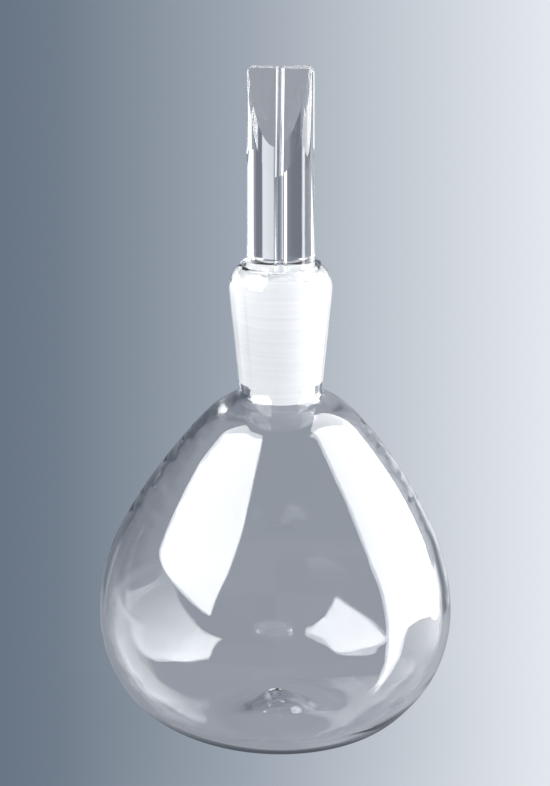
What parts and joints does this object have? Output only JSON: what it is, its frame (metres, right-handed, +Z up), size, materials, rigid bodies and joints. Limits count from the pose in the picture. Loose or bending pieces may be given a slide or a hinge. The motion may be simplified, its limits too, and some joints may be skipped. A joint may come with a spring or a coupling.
{
  "type": "density bottle",
  "caption": "Pear-shaped blown glass density bottle on a flat foot ring, with a ground taper neck and a solid ground glass stopper with a straight capillary and a chisel-shaped top.",
  "frame": {"origin": "centre of the flask's foot ring, on the surface the bottle stands on", "axes": "+Z up along the common axis of flask and stopper; -Y is the front, which the stopper's lower oblique face looks towards"},
  "size_m": [0.049, 0.0488, 0.0912],
  "materials": {
    "flask_glass": "clear fire-polished borosilicate glass, white ground surface in the neck's socket",
    "stopper_glass": "clear polished glass rod, white ground surface on the cone"
  },
  "bodies": {
    "flask": {"flask": "flask_glass"},
    "stopper": {"stopper": "stopper_glass"}
  },
  "joints": [
    {"name": "stopper_lift", "type": "slide", "parent": "flask", "child": "stopper", "axis": [0, 0, 1], "range_m": [0, 0.03]}
  ]
}
